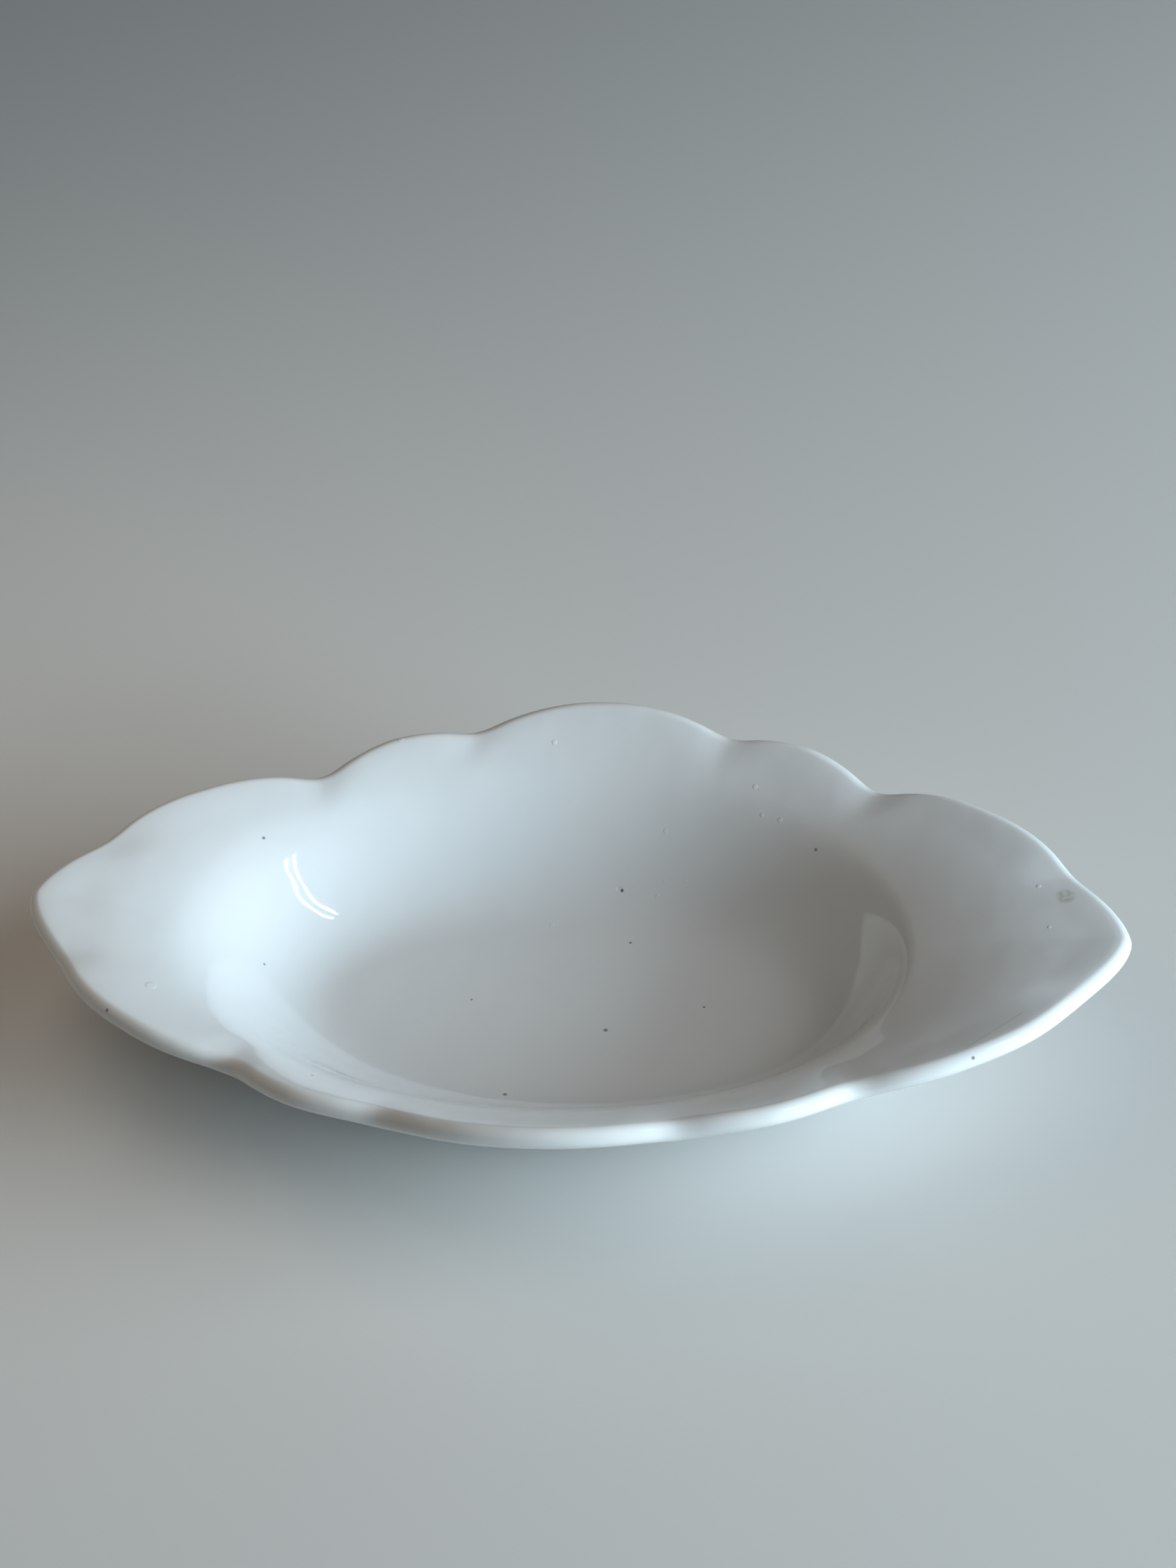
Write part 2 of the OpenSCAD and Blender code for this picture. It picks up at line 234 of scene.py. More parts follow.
class DishDetail(bpy.types.PropertyGroup):
    """How finely the pieces are cut into faces."""
    lobe_steps: IntProperty(name="Lobe steps", description="Faces along one lobe",
                            default=40, min=8, max=60)
    foot_steps: IntProperty(name="Foot steps", description="Faces around the foot",
                            default=240, min=48, max=480)


class DishFinish(bpy.types.PropertyGroup):
    """Colours of the glaze and the bare clay."""
    glaze: colour("Glaze", (0.77, 0.785, 0.79), "The white glaze where it is even")
    pooled: colour("Pooled glaze", (0.72, 0.755, 0.775), "The glaze where it lies thick")
    thin: colour("Thin glaze", (0.8, 0.765, 0.71), "The glaze where it runs thin over an edge")
    # The speck colour also paints the shade in the pit
    speck: colour("Speck", (0.1, 0.085, 0.07), "Grit burnt into the glaze, and the pit")
    stain: colour("Stain", (0.33, 0.26, 0.16), "The brown stain on the rim, and the fine crack")
    clay: colour("Clay", (0.62, 0.57, 0.48), "The bare fired clay of the standing edge")
    soiled: colour("Soiled clay", (0.34, 0.29, 0.23), "The clay where it has rubbed on tables")


class StudioSet(bpy.types.PropertyGroup):
    """The camera, the lights and the floor."""
    floor: colour("Floor", (0.74, 0.72, 0.69), "The pale floor")
    air: colour("Air", (1.0, 0.9, 0.78), "The light that comes from all round")
    air_level: FloatProperty(name="Air level", description="Strength of that light",
                             default=0.035, min=0)
    window: colour("Window", (0.67, 0.87, 1.0), "The light of the window low on the right")
    window_power: power("Window power", 34, "Power of the low window, which isn't reflected")
    pane: colour("Pane", (0.87, 0.95, 1.0), "The light of the window's upper part")
    pane_power: power("Pane power", 7.4, "Power of the upper part, which isn't reflected")
    sheen_power: power("Sheen power", 2.4, "Power of the upper part as the glaze reflects it")
    screen: colour("Screen", (1.0, 0.88, 0.75), "The light of the soft screen")
    screen_power: power("Screen power", 0.28, "Power of the screen close above the left end")
    gleam_power: power("Gleam power", 0.6, "Power of each bright strip, which is only reflected")
    window_turn: angle("Window turn", -10, "Bearing of the window from the dish's right")
    lens: FloatProperty(name="Lens", description="Focal length of the camera, in millimetres",
                        default=65.1, min=1)
    camera_turn: angle("Camera turn", 9.78, "Bearing of the camera")
    camera_tilt: angle("Camera tilt", 52, "Tilt up from looking straight down")
    camera_roll: angle("Camera roll", -4.0, "Roll about the line of sight")
    camera_place: FloatVectorProperty(name="Camera place", description="Where the camera stands",
                                      size=3, default=(0.0853, -0.456, 0.4316), unit="LENGTH")


def ramp(x, reach):
    """0 below -reach, x above reach, and 2r (t^3 - t^4 / 2) between, where t runs from 0 to 1."""
    t = np.clip((x + reach) / (2 * reach), 0, 1)
    return np.where(x > reach, x, 2 * reach * (t**3 - t**4 / 2))


def smooth(t):
    """3 t^2 - 2 t^3 between 0 and 1, and level outside."""
    t = np.clip(t, 0, 1)
    return t * t * (3 - 2 * t)


def unit(v):
    """Vectors over their lengths."""
    return v / np.linalg.norm(v, axis=-1, keepdims=True)


def column(values):
    """Numbers as a column, one for each spoke or ring."""
    return np.asarray(values)[:, None]


def shares(count):
    """Equal steps from just after 0 up to 1."""
    return np.arange(1, count + 1) / count


def stretch(start, end, t):
    """A row of distances for each spoke, from its start to its end, at the shares t."""
    return column(start) + column(end - start) * t


def shrunk(ring, at):
    """Copies of a ring, one for each share, drawn in to that share towards the middle in plan."""
    return ring * np.stack([at, at, np.ones_like(at)], 1)


def foot_axes(sizes):
    """Half the length and half the width of the foot at its root."""
    floor = np.array([sizes.floor_length, sizes.floor_width]) / 2
    return floor - sizes.floor_round * FOOT_INSET_SHARE


class Dish:
    """The clay's surface as a function of two parameters: the spoke, and the distance d along it.

    A spoke runs outward in plan from the corner of the floor, over the verge, to the middle of
    the round lip.
    """

    def __init__(self, sizes, per_lobe):
        self.s = sizes
        self.lip_r = sizes.clay / 2
        self.inset = self.lip_r + sizes.glaze_coat
        self.half = np.array([sizes.dish_length, sizes.dish_width]) / 2
        self.set_lobes()
        lobe = np.repeat(np.arange(LOBES), per_lobe)
        t = np.tile(np.arange(per_lobe) / per_lobe, LOBES)
        along = self.chord[lobe] * (t - CROWDING_SHARE * np.sin(2 * np.pi * t) / (2 * np.pi))
        self.set_plan(self.edge(lobe, along))
        self.set_section()
        self.set_relief(lobe, along)

    def set_lobes(self):
        """The lobes' chords, and the notches, counter-clockwise from the right-hand end lobe."""
        quarter = NOTCH_SHARES * self.half
        upper = np.concatenate([quarter, quarter[::-1] * [-1, 1]])
        self.notch = np.concatenate([upper, -upper])
        step = np.roll(self.notch, -1, 0) - self.notch
        self.chord = np.linalg.norm(step, axis=1)
        self.chord_way = unit(step)
        self.chord_out = np.stack([self.chord_way[:, 1], -self.chord_way[:, 0]], 1)
        end, side = self.half[0] - quarter[0][0], self.half[1] - quarter[2][1]
        self.bulge = np.array([end, self.s.long_bulge, self.s.short_bulge, side])[LOBE_KINDS]
        self.fullness = FULLNESS_SHARES[LOBE_KINDS]

    def bow(self, lobe, along):
        """The chord's point at that distance, out by bulge (1 - |2c / chord - 1|^fullness)."""
        rise = 1 - np.abs(2 * along / self.chord[lobe] - 1) ** self.fullness[lobe]
        on_chord = self.notch[lobe] + self.chord_way[lobe] * column(along)
        return on_chord + self.chord_out[lobe] * column(self.bulge[lobe] * rise)

    def edge(self, lobe, along):
        """The lobed outline.

        Near a notch, the steps that the two lobes make away from it are added, and each is eased
        in by a ramp.
        """
        ease = self.s.notch_ease
        before, after = (lobe - 1) % LOBES, (lobe + 1) % LOBES
        left = self.chord[lobe] - along
        own = np.where(along < left, ramp(along, ease), self.chord[lobe] - ramp(left, ease))
        back = self.chord[before] - ramp(-along, ease)
        step_back = self.bow(before, back) - self.notch[lobe]
        step_on = self.bow(after, ramp(-left, ease)) - self.notch[after]
        return self.bow(lobe, own) + step_back + step_on

    def set_plan(self, edge):
        """Where each spoke crosses the floor's corner, the verge and the middle of the lip."""
        tangent = unit(np.roll(edge, -1, 0) - np.roll(edge, 1, 0))
        self.normal = np.stack([tangent[:, 1], -tangent[:, 0]], 1)
        self.lip = edge - self.normal * self.inset
        self.angle = np.arctan2(self.lip[:, 1] * SPOKE_SHARE, self.lip[:, 0])
        self.ray = np.stack([np.cos(self.angle), np.sin(self.angle)], 1)
        self.well = np.array([self.s.verge_length, self.s.verge_width]) / 2
        self.corner = self.ray * (np.array([self.s.floor_length, self.s.floor_width]) / 2)
        self.verge = self.ray * self.well + [self.s.verge_shift, 0]
        self.heading = unit(self.lip - self.verge)
        self.verge_at = np.linalg.norm(self.verge - self.corner, axis=1)
        self.rim_run = np.linalg.norm(self.lip - self.verge, axis=1)
        self.lip_at = self.verge_at + self.rim_run

    def set_section(self):
        """The slopes of floor, wall, start of the rim and lip, and the verge's rounding."""
        s = self.s
        end_run = self.half[0] - self.inset - self.well[0] - s.verge_shift * np.cos(self.angle)
        end = (s.end_height - s.verge_height) / end_run
        side = (s.side_height - s.verge_height) / (self.half[1] - self.inset - self.well[1])
        turn = np.abs(np.sin(self.angle))
        rim = end + (side - end) * turn**STEEPENING_SHARE
        half_loss = FLATTENING_SHARE / 2
        self.floor_z = s.foot_height + s.clay
        wall = (s.verge_height - s.glaze_coat - self.floor_z) / self.verge_at
        self.slopes = [np.zeros_like(rim), wall, rim + half_loss, rim - half_loss]
        self.lean = np.arctan(self.slopes[3])
        to_right = (1 + np.cos(self.angle)) / 2
        end_round = s.left_round + (s.right_round - s.left_round) * to_right
        self.round = end_round + (s.side_round - end_round) * turn**2

    def set_relief(self, lobe, along):
        """How far the lip lifts, by a sine over each lobe, less a bell-shaped dip at each notch."""
        gap = np.minimum(along, self.chord[lobe] - along)
        dip = self.s.notch_dip * np.exp(-((gap / self.s.dip_width) ** 2))
        self.relief = self.s.lobe_lift * np.sin(np.pi * along / self.chord[lobe]) - dip

    def place(self, d):
        """Plan places: straight from corner to verge and on to the lip, and square in below 0."""
        on_wall = np.clip(d / column(self.verge_at), 0, 1)[..., None]
        on_rim = np.maximum(d - column(self.verge_at), 0)[..., None]
        within = np.minimum(d, 0)[..., None]
        corner, verge = self.corner[:, None], self.verge[:, None]
        on_spoke = corner + (verge - corner) * on_wall + self.heading[:, None] * on_rim
        return on_spoke + self.ray[:, None] * within

    def surface(self, d, z, corners, reaches):
        """Height z plus, at each corner, the change of slope times a ramp of that reach.

        The lobes' relief is added at the lip and fades down the rim.
        """
        from_lip = column(self.lip_at) - d
        height = z + column(self.relief) * smooth(1 - from_lip / self.s.dip_reach)
        for before, after, corner, reach in zip(self.slopes, self.slopes[1:], corners, reaches):
            height = height + column(after - before) * ramp(d - column(corner), column(reach))
        return np.concatenate([self.place(d), height[..., None]], 2)

    def top(self, d):
        """The clay's upper side."""
        half_rim = self.rim_run / 2
        corners = [np.zeros_like(half_rim), self.verge_at, self.verge_at + half_rim]
        reaches = [np.full_like(half_rim, self.s.floor_round), self.round, half_rim]
        return self.surface(d, self.floor_z, corners, reaches)

    def under_corners(self):
        """The upper side's corners, moved out so that the clay keeps its thickness.

        Where the slope turns from a to b, that is clay sin((a + b) / 2) / cos((b - a) / 2).
        """
        leans = np.arctan(self.slopes)
        half_sum, half_turn = (leans[:-1] + leans[1:]) / 2, (leans[1:] - leans[:-1]) / 2
        shift = self.s.clay * np.sin(half_sum) / np.cos(half_turn)
        return [shift[0], self.verge_at + shift[1], self.verge_at + self.rim_run / 2 + shift[2]]

    def under(self, d):
        """The clay's underside."""
        at_floor = np.full_like(self.round, self.s.floor_round)
        reaches = [at_floor, self.round + self.s.under_fill, self.rim_run / 2]
        return self.surface(d, self.s.foot_height, self.under_corners(), reaches)

    def round_lip(self, a):
        """A half circle about the lip's middle, at angles a from pi / 2 above to -pi / 2 below."""
        way = self.heading[:, None]
        out = way + (self.normal - self.heading)[:, None] * np.cos(a)[None, :, None]
        turned = a[None] + column(self.lean)
        middle = self.top(column(self.lip_at))[:, 0, 2] - self.lip_r / np.cos(self.lean)
        plan = self.lip[:, None] + out * (self.lip_r * np.cos(turned))[..., None]
        height = column(middle) + self.lip_r * np.sin(turned)
        return np.concatenate([plan, height[..., None]], 2)

    def foot_side(self, z):
        """The foot's outer side at heights z: an oval that leans in towards the standing edge."""
        foot = foot_axes(self.s)
        lean = self.s.foot_draft * (1 - z / self.s.foot_height)
        plan = (self.ray * foot)[:, None] * (1 - lean / foot[0])[None, :, None]
        height = np.broadcast_to(z[None, :, None], plan.shape[:2] + (1,))
        return np.concatenate([plan, height], 2)

    def skin(self):
        """What the outer glaze covers, from the floor's middle over the lip to the foot's edge."""
        s = self.s
        level = np.full_like(self.angle, -s.floor_round)
        lead = self.lip_r * np.sin(self.lean)
        turn_low, turn_high = self.verge_at - self.round, self.verge_at + self.round
        under_verge = self.under_corners()[1]
        under_high = np.minimum(under_verge + self.round + s.under_fill,
                                self.lip_at + lead - self.rim_run * UNDER_GAP_SHARE)
        under_low = under_verge - self.round - s.under_fill
        root = np.full_like(self.angle, -s.floor_round * FOOT_INSET_SHARE)
        fillet_low = s.foot_height - s.root_fillet
        parts = [
            shrunk(self.top(column(level)), shares(FLOOR_RINGS)),
            self.top(stretch(level, turn_low, shares(WALL_RINGS))),
            self.top(stretch(turn_low, turn_high, shares(VERGE_RINGS))),
            self.top(stretch(turn_high, self.lip_at - lead, shares(RIM_RINGS))),
            self.round_lip(np.pi / 2 - np.pi * shares(LIP_RINGS)),
            self.under(stretch(self.lip_at + lead, under_high, shares(UNDER_RIM_RINGS))),
            self.under(stretch(under_high, under_low, shares(UNDER_VERGE_RINGS))),
            self.under(stretch(under_low, root + s.root_fillet, shares(UNDER_WALL_RINGS))),
            self.under(stretch(root + s.root_fillet, root, shares(ROOT_STEPS)[:-1])),
            self.foot_side(s.foot_height - s.root_fillet * np.append(0, shares(ROOT_STEPS))),
            self.foot_side(fillet_low + (s.bare_edge - fillet_low) * shares(FOOT_RINGS)),
        ]
        self.root_ring = sum(part.shape[1] for part in parts[:-2])
        return np.concatenate(parts, 1)


def thinned(count, every):
    """The indices of every so many points, with the last one among them."""
    return np.unique(np.append(np.arange(0, count, every), count - 1))


def facing(grid):
    """Outward directions on a grid that is closed around: the cross product of its differences."""
    around = np.roll(grid, -1, 0) - np.roll(grid, 1, 0)
    down = np.gradient(grid, axis=1)
    return unit(np.cross(down, around))


def bend(grid, outward):
    """The turn of a spoke's direction per metre, against outward: above 0 on an edge."""
    step = np.diff(grid, axis=1)
    far = np.linalg.norm(step, axis=2)
    turn = np.diff(step / far[..., None], axis=1) / ((far[:, 1:] + far[:, :-1]) / 2)[..., None]
    return np.pad(-(turn * outward[:, 1:-1]).sum(2), ((0, 0), (1, 1)))


def eased(values):
    """Values on a grid, mixed (1 2 1) / 4 with their neighbours along the spoke, several times."""
    for _ in range(EASE_TIMES):
        padded = np.pad(values, ((0, 0), (1, 1)), mode="edge")
        values = (padded[:, :-2] + 2 * values + padded[:, 2:]) / 4
    return values


def fill_root(grid, root, radius):
    """Puts a quarter circle in the corner at ring root: corner + r (u + v) - r (u cos a + v sin a).

    u and v are the directions in which the corner's two sides leave it.
    """
    corner = grid[:, root]
    u = unit(grid[:, root - ROOT_STEPS - 1] - corner)
    v = unit(grid[:, root + ROOT_STEPS + 1] - corner)
    a = np.linspace(np.pi / 2, 0, 2 * ROOT_STEPS + 1)[None, :, None]
    arc = corner[:, None] + radius * (u[:, None] * (1 - np.cos(a)) + v[:, None] * (1 - np.sin(a)))
    filled = grid.copy()
    filled[:, root - ROOT_STEPS:root + ROOT_STEPS + 1] = arc
    return filled


def waves(points, height):
    """A sum of plane waves.

    Each is turned on by the golden angle, and is longer and higher than the last by one factor.
    """
    total = np.zeros(points.shape[:-1])
    for k in range(WAVE_COUNT):
        wavelength = SHORTEST_WAVE * WAVE_GROWTH**k
        turn = k * GOLDEN_ANGLE
        in_plan = points[..., 0] * math.cos(turn) + points[..., 1] * math.sin(turn)
        across = in_plan + points[..., 2] * WAVE_RISE
        share = WAVE_GROWTH**k / WAVE_GROWTH ** (WAVE_COUNT - 1)
        total += share * np.sin(2 * np.pi * across / wavelength + k)
    return total * height


def level_waves(points, height):
    """The points, moved up by those waves."""
    moved = points.astype(float)
    moved[..., 2] += waves(points, height)
    return moved


def band(rows, first, depth, inward=False):
    """Quads between neighbouring spokes of a grid.

    It has depth points a spoke, and its first point has the index first.
    """
    j, k = np.meshgrid(np.arange(rows), np.arange(depth - 1), indexing="ij")
    a, b = first + j * depth + k, first + (j + 1) % rows * depth + k
    quads = np.stack([a, a + 1, b + 1, b], 2).reshape(-1, 4)
    return quads[:, ::-1] if inward else quads


def fan(rows, first, depth, k, pole, inward=False):
    """Triangles from ring k of such a grid to the pole."""
    j = np.arange(rows)
    a, b = first + j * depth + k, first + (j + 1) % rows * depth + k
    triangles = np.stack([a, b, np.full(rows, pole)], 1)
    return triangles[:, ::-1] if inward else triangles


def strip(rows, above, depth_above, below, depth_below):
    """Quads that join the last ring of one grid to the last ring of another."""
    j = np.arange(rows)
    a, b = above + (j + 1) * depth_above - 1, below + (j + 1) * depth_below - 1
    return np.stack([a, b, np.roll(b, -1), np.roll(a, -1)], 1)


def make_piece(name, points, quads, triangles, material, nodes, marks=None):
    """A smooth mesh from arrays, with its marks as attributes.

    It rides on the body, replaces the nodes and takes its finish from the slot.
    """
    mesh = bpy.data.meshes.new(name)
    corners = np.concatenate([quads.ravel(), triangles.ravel()])
    sizes = np.concatenate([np.full(len(quads), 4), np.full(len(triangles), 3)])
    mesh.vertices.add(len(points))
    mesh.loops.add(len(corners))
    mesh.polygons.add(len(sizes))
    mesh.vertices.foreach_set("co", np.ascontiguousarray(points, np.float32).ravel())
    mesh.loops.foreach_set("vertex_index", corners.astype(np.int32))
    mesh.polygons.foreach_set("loop_start", (np.cumsum(sizes) - sizes).astype(np.int32))
    mesh.polygons.foreach_set("use_smooth", np.ones(len(sizes), bool))
    mesh.update(calc_edges=True)
    for key, values in (marks or {}).items():
        attribute = mesh.attributes.new(key, "FLOAT", "POINT")
        attribute.data.foreach_set("value", values.astype(np.float32).ravel())
    mesh.materials.append(material)
    piece = bpy.data.objects.new(name, mesh)
    bpy.context.scene.collection.objects.link(piece)
    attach(piece, "root")
    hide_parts(*nodes)
    return piece


class Channel:
    """A socket that carries a number or a colour over the surface.

    Arithmetic on it adds Math nodes.
    """

    def __init__(self, paint, socket):
        self.paint, self.socket = paint, socket

    def math(self, operation, *values):
        """A Math node on numbers and channels."""
        return self.paint.node("ShaderNodeMath", {"operation": operation}, dict(enumerate(values)))

    def __add__(self, other):
        return self.math("ADD", self, other)

    def __radd__(self, other):
        return self.math("ADD", other, self)

    def __sub__(self, other):
        return self.math("SUBTRACT", self, other)

    def __rsub__(self, other):
        return self.math("SUBTRACT", other, self)

    def __mul__(self, other):
        return self.math("MULTIPLY", self, other)

    def __rmul__(self, other):
        return self.math("MULTIPLY", other, self)

    def __gt__(self, other):
        return self.math("GREATER_THAN", self, other)

    def __lt__(self, other):
        return self.math("LESS_THAN", self, other)


class Paint:
    """A material and its node tree."""

    def __init__(self, name):
        self.material = bpy.data.materials.new(name)
        self.material.use_nodes = True
        self.tree = self.material.node_tree
        self.shader = self.tree.nodes["Principled BSDF"]
        self.place = self.node("ShaderNodeTexCoord", output="Object")

    def node(self, kind, settings=None, sockets=None, output=0):
        """Adds a node, with its settings first, then its sockets' values or links."""
        made = self.tree.nodes.new(kind)
        for key, value in (settings or {}).items():
            setattr(made, key, value)
        for key, value in (sockets or {}).items():
            self.feed(made.inputs[key], value)
        return Channel(self, made.outputs[output])

    def feed(self, socket, value):
        """Links a channel to a socket, or gives the socket a fixed value."""
        if isinstance(value, Channel):
            self.tree.links.new(value.socket, socket)
        else:
            socket.default_value = value

    def set(self, **inputs):
        """Feeds the shader's own sockets, with underscores for the spaces in their names."""
        for key, value in inputs.items():
            self.feed(self.shader.inputs[key.replace("_", " ")], value)

    def noise(self, size, detail=2.0, rough=0.5, seed=0.0):
        """Smooth noise from 0 to 1 with blots of about that size in metres."""
        sockets = {"Vector": self.place, "W": seed, "Scale": 1 / size, "Detail": detail,
                   "Roughness": rough}
        return self.node("ShaderNodeTexNoise", {"noise_dimensions": "4D"}, sockets)

    def between(self, value, low, high):
        """0 at low, 1 at high, and smooth between them."""
        return self.node("ShaderNodeMapRange", {"interpolation_type": "SMOOTHSTEP", "clamp": True},
                         {"Value": value, "From Min": low, "From Max": high})

    def blots(self, low, high, **noise):
        """Blots that begin where the noise is low, and are full where it is high."""
        return self.between(self.noise(**noise), low, high)

    def mark(self, name):
        """A mark that the mesh carries as an attribute."""
        return self.node("ShaderNodeAttribute", {"attribute_name": name}, output="Fac")

    def mix(self, share, first, second):
        """A colour between two, which are colours or links."""
        first = first if isinstance(first, Channel) else (*first, 1.0)
        second = second if isinstance(second, Channel) else (*second, 1.0)
        sockets = {0: share, 6: first, 7: second}
        return self.node("ShaderNodeMix", {"data_type": "RGBA"}, sockets, output=2)

    def vector(self, operation, first, second, output="Vector"):
        """Vector Math on two vectors, with a vector or a number as its output."""
        sockets = {0: first, 1: second}
        return self.node("ShaderNodeVectorMath", {"operation": operation}, sockets, output)

    def near(self, spot, radius):
        """1 within half the radius of a spot, falling to 0 at the radius."""
        away = self.vector("DISTANCE", self.place, spot, "Value")
        return self.between(away, radius, radius / 2)

    def hairline(self, start, end):
        """A thin line: 1 where |(p - start) x (end - start)| over the length is almost 0."""
        along = Vector(end) - Vector(start)
        from_start = self.vector("SUBTRACT", self.place, start)
        off = self.vector("CROSS_PRODUCT", from_start, along.normalized())
        away = self.vector("LENGTH", off, (0, 0, 0), "Value")
        line = self.between(away, HAIR_WIDTH, HAIR_WIDTH / 2)
        middle = (Vector(start) + Vector(end)) / 2
        return line * self.near(middle, along.length * HAIR_REACH_SHARE)

    def most(self, values):
        """The largest of some numbers."""
        largest = values[0]
        for value in values[1:]:
            largest = largest.math("MAXIMUM", largest, value)
        return largest

    def bump(self, height):
        """Normals from a height in metres."""
        sockets = {"Height": height, "Distance": 1.0, "Strength": 1.0}
        return self.node("ShaderNodeBump", None, sockets, "Normal")


def stray_grit(paint):
    """A grain near the middle of some cells, picked by each cell's random colour, turned grey."""
    cells = {"Vector": paint.place, "Scale": GRIT_CELLS}
    chance = paint.node("ShaderNodeTexVoronoi", None, cells, "Color")
    away = paint.node("ShaderNodeTexVoronoi", None, cells, "Distance")
    return paint.between(away, GRIT_REACH, GRIT_CORE) * (chance > GRIT_FROM)


def glaze_paint(finish):
    """Old white glaze: faintly clouded, warm where thin, cool where thick, and marked by age."""
    paint = Paint(GLAZE)
    clouding = paint.blots(**CLOUDS) * CLOUD_TINT + paint.blots(**MOTTLE) * MOTTLE_TINT
    base = paint.mix(clouding, finish.glaze, finish.pooled)
    base = paint.mix(paint.mark("pool"), base, finish.pooled)
    base = paint.mix(paint.mark("edge") * THIN_TINT, base, finish.thin)

    specks = paint.most([paint.near(*speck) for speck in SPECKS] + [stray_grit(paint)])
    pit = paint.near(*PIT)
    # Grit specks darken the glaze, and the pit's dark core is painted shade in its hollow
    base = paint.mix(paint.most([specks * SPECK_TINT, pit * PIT_SHADE_TINT]), base, finish.speck)

    ragged = paint.blots(**RAGS)
    stain = paint.near(*STAIN) * (STAIN_LEAST + ragged * (1 - STAIN_LEAST))
    base = paint.mix(stain * STAIN_TINT, base, finish.stain)

    hairs = paint.most([paint.hairline(start, end) for start, end in HAIRLINES])
    base = paint.mix(hairs * HAIR_TINT, base, finish.stain)

    blisters = paint.most([paint.near(*blister) for blister in BLISTERS])
    raised = paint.noise(**FINE) * FINE_HEIGHT + paint.noise(**SWELL) * SWELL_HEIGHT
    dents = specks * SPECK_DEPTH + pit * PIT_DEPTH + paint.near(*PIT_RIM) * PIT_RIM_DEPTH
    rough = GLAZE_ROUGH + paint.noise(**GLOSS) * GLOSS_ROUGH + stain * STAIN_ROUGH
    paint.set(Base_Color=base, Roughness=rough, IOR=GLAZE_IOR,
              Normal=paint.bump(raised + blisters * BLISTER_HEIGHT - dents))
    return paint.material


def clay_paint(finish):
    """Bare fired clay: fine, matt and a little soiled."""
    paint = Paint(CLAY)
    soil = paint.blots(**SOIL)
    base = paint.mix(soil, finish.clay, finish.soiled)
    paint.set(Base_Color=base, Roughness=CLAY_ROUGH + soil * SOIL_ROUGH,
              Normal=paint.bump(paint.noise(**CLAY_GRAIN) * CLAY_HEIGHT))
    return paint.material


def material_once(name, make, finish):
    """The material of that name, made on its first use."""
    return bpy.data.materials.get(name) or make(finish)


class DISH_OT_clay(bpy.types.Operator):
    """Adds the clay dish that the glaze covers"""
    bl_idname = "dish.clay"
    bl_label = "Clay dish"

    def execute(self, context):
        scene = context.scene
        dish = Dish(scene.dish_sizes, scene.dish_detail.lobe_steps // CLAY_THINNING)
        skin = dish.skin()
        grid = skin[:, thinned(dish.root_ring + 1, CLAY_THINNING)]
        rows, depth = grid.shape[:2]
        poles = [[0, 0, dish.floor_z], [0, 0, dish.s.foot_height]]
        points = np.concatenate([grid.reshape(-1, 3), poles])
        triangles = np.concatenate([
            fan(rows, 0, depth, 0, rows * depth),
            fan(rows, 0, depth, depth - 1, rows * depth + 1, inward=True),
        ])
        clay = material_once(CLAY, clay_paint, scene.dish_finish)
        make_piece("clay_body", points, band(rows, 0, depth), triangles, clay,
                   ["dish_body"])
        return {"FINISHED"}


class DISH_OT_glaze(bpy.types.Operator):
    """Adds the glaze over the dish, down to the bare edge of the foot"""
    bl_idname = "dish.glaze"
    bl_label = "Glaze"

    def execute(self, context):
        scene = context.scene
        sizes = scene.dish_sizes
        dish = Dish(sizes, scene.dish_detail.lobe_steps)
        inner = dish.skin()
        outward = facing(inner)
        turn = bend(inner, outward)
        edge = eased(np.clip(turn * THIN_RADIUS, 0, 1))
        pool = eased(np.clip(-turn * THICK_RADIUS, 0, 1))
        even = sizes.glaze_coat * (1 - THIN_SHARE * edge)
        coat = even + waves(inner, sizes.unevenness) * (1 - edge)
        outer = fill_root(inner + outward * coat[..., None], dish.root_ring, sizes.root_fillet)
        rows, depth = outer.shape[:2]
        kept = thinned(depth, INNER_THINNING)
        count, depth_in = rows * depth, len(kept)
        middle = np.array([0, 0, dish.floor_z])
        crown = level_waves(middle, sizes.unevenness) + [0, 0, sizes.glaze_coat]
        lining = inner[:, kept].reshape(-1, 3)
        points = np.concatenate([outer.reshape(-1, 3), lining, [crown, middle]])
        pole = rows * (depth + depth_in)
        quads = np.concatenate([
            band(rows, 0, depth),
            band(rows, count, depth_in, inward=True),
            strip(rows, 0, depth, count, depth_in),
        ])
        triangles = np.concatenate([
            fan(rows, 0, depth, 0, pole),
            fan(rows, count, depth_in, 0, pole + 1, inward=True),
        ])
        rest = np.zeros(len(points) - count)
        marks = {"edge": np.append(edge.ravel(), rest), "pool": np.append(pool.ravel(), rest)}
        glaze = material_once(GLAZE, glaze_paint, scene.dish_finish)
        make_piece("glaze_coat", points, quads, triangles, glaze, ["glaze"], marks)
        return {"FINISHED"}


def quarter_turn(count):
    """Angles from just after 0 up to a right angle, in equal steps."""
    return np.linspace(0, np.pi / 2, count + 1)[1:]


def oval_ring(axes, leans, offsets, heights, steps):
    """A profile carried round an oval.

    At each of its points the oval grows by the lean, in proportion, and then moves out by the
    offset.
    """
    turn = np.arange(steps) / steps * 2 * np.pi
    ray = np.stack([np.cos(turn), np.sin(turn)], 1)
    square = unit(ray / axes)
    grown = axes * (1 + column(leans) / axes[0])
    plan = ray[:, None] * grown + square[:, None] * column(offsets)
    return np.concatenate([plan, np.broadcast_to(column(heights), plan.shape[:2] + (1,))], 2)


